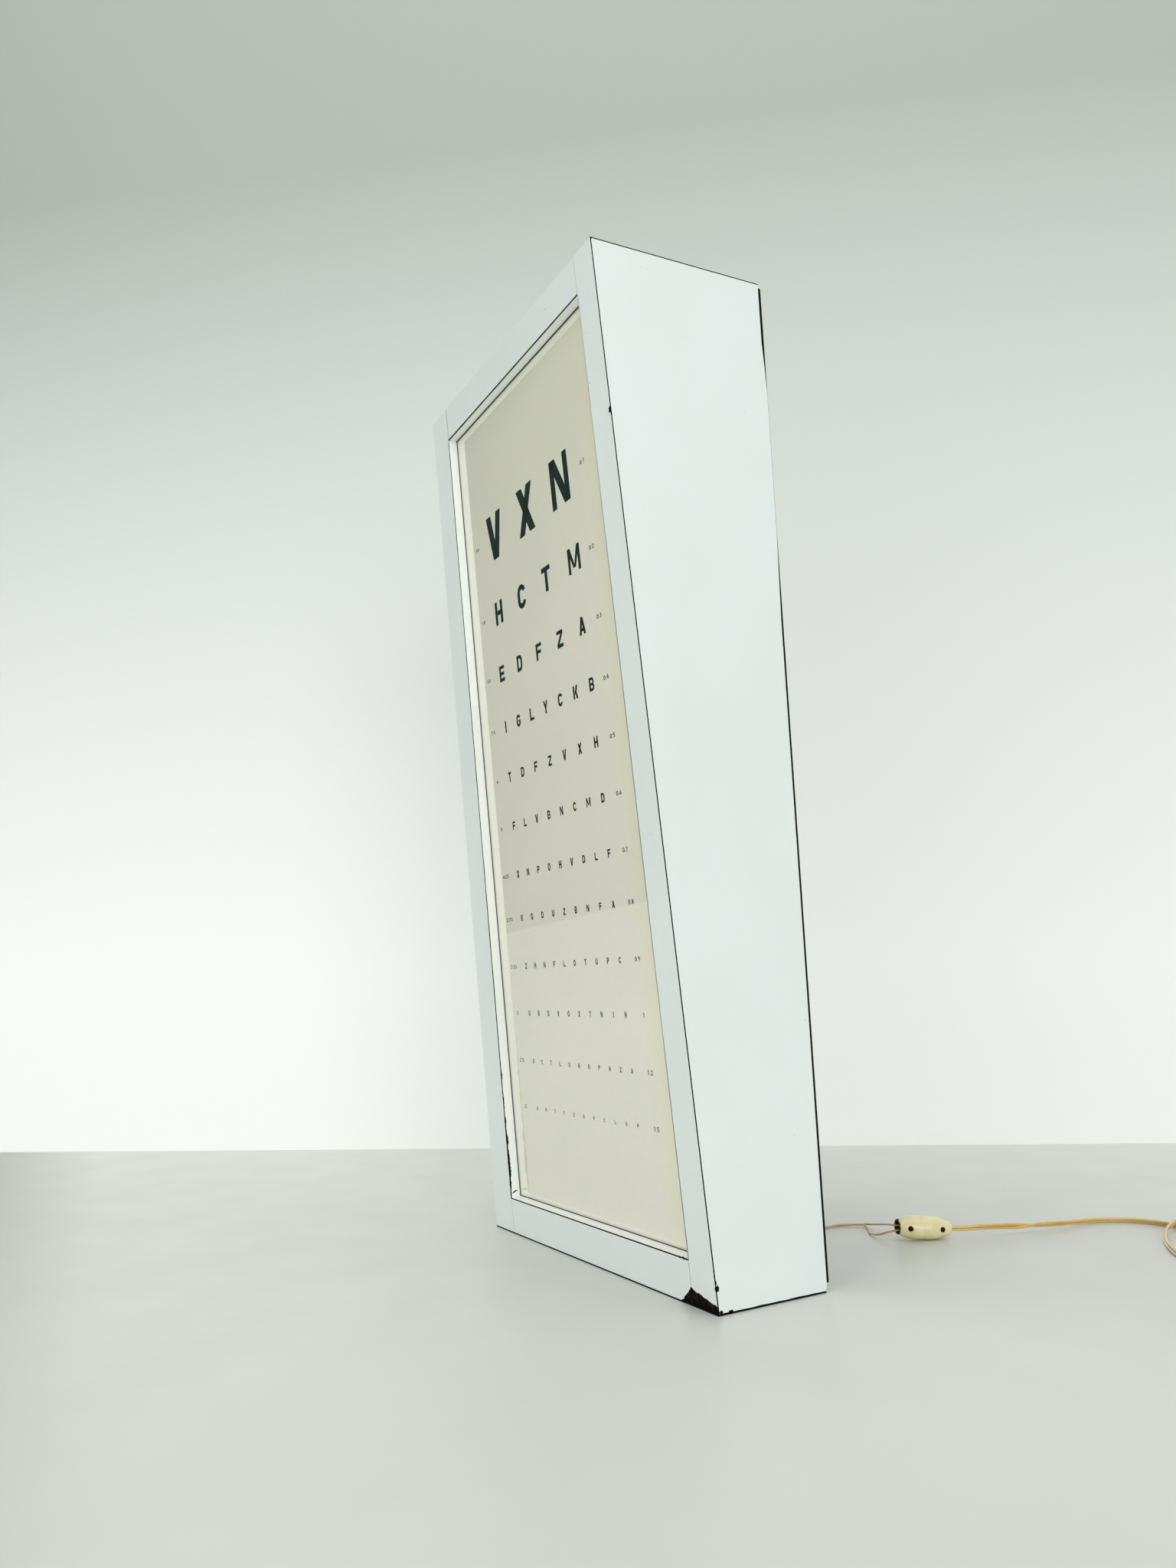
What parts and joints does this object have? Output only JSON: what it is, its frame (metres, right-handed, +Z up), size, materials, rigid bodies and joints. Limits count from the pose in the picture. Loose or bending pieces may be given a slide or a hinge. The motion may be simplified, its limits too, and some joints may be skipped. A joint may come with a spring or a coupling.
{
  "type": "visual acuity chart",
  "caption": "Wedge light box for eye tests: laminate cabinet, framed glass front leaning outwards over graded rows of letters, with flex, in-line switch and plug.",
  "frame": {"origin": "on the floor, in the middle of the cabinet's footprint box, without its cord", "axes": "+Z up, +X to the viewer's right, +Y to the back; the lit front faces -Y and leans out at the top"},
  "size_m": [0.507, 0.5864, 0.7728],
  "materials": {
    "board": "raw particle board",
    "frame_wood": "raw softwood",
    "laminate": "satin white laminate with dark cut edges",
    "pane": "clear polished",
    "printed_sheet": "ivory translucent sheet with dark green lettering",
    "opal": "opal diffusing",
    "hardboard": "dark brown hardboard",
    "zinc_steel": "zinc plated",
    "black_rubber": "matte",
    "white_enamel": "gloss white enamel",
    "lamp_glass": "white coated inside",
    "lamp_metal": "plain",
    "white_plastic": "moulded",
    "inner_wire": "insulated wire",
    "near_flex": "brownish twin flex",
    "gold_flex": "golden clear twisted flex",
    "ivory_plastic": "ivory, slightly yellowed",
    "dark_plastic": "moulded",
    "plug_plastic": "ivory",
    "plug_brass": "bright"
  },
  "bodies": {
    "light_box": {"side_board_left": "board", "side_board_right": "board", "top_board": "board", "bottom_board": "board", "stile_left": "frame_wood", "stile_right": "frame_wood", "rail_top": "frame_wood", "rail_bottom": "frame_wood", "bead_left": "frame_wood", "bead_right": "frame_wood", "bead_top": "frame_wood", "bead_bottom": "frame_wood", "side_skin_left": "laminate", "side_skin_right": "laminate", "top_skin": "laminate", "bottom_skin": "laminate", "stile_left_skin": "laminate", "stile_right_skin": "laminate", "rail_top_skin": "laminate", "rail_bottom_skin": "laminate", "lining_left_lower": "laminate", "lining_left_upper": "laminate", "lining_right": "laminate", "lining_top": "laminate", "lining_bottom": "laminate", "glass_pane": "pane", "chart_sheet": "printed_sheet", "opal_diffuser": "opal", "back_panel": "hardboard", "bead_pins": "zinc_steel", "back_panel_screws": "zinc_steel", "hanging_plates": "zinc_steel", "hanging_plate_screws": "zinc_steel", "lamp_tray_screws": "zinc_steel", "switch_screws": "zinc_steel", "outlet_bush": "black_rubber", "lamp_tray": "white_enamel", "ballast": "white_enamel", "tube_left": "lamp_glass", "tube_right": "lamp_glass", "tube_caps": "lamp_metal", "starters": "lamp_metal", "lampholders": "white_plastic", "starter_sockets": "white_plastic", "terminal_block": "white_plastic", "flex_clamp": "white_plastic", "inner_wires": "inner_wire", "flex_near": "near_flex", "core_upper": "near_flex", "core_lower": "near_flex", "flex_far": "gold_flex", "flex_coil": "gold_flex", "flex_tail": "gold_flex", "switch_cover": "ivory_plastic", "switch_base": "ivory_plastic", "coil_tie": "dark_plastic", "plug_body": "plug_plastic", "plug_pins": "plug_brass"},
    "switch_slider": {"switch_button": "dark_plastic"}
  },
  "joints": [
    {"name": "switch_slide", "type": "slide", "parent": "light_box", "child": "switch_slider", "axis": [0.4372, 0.8965, -0.0715], "range_m": [0, 0.0025]}
  ]
}
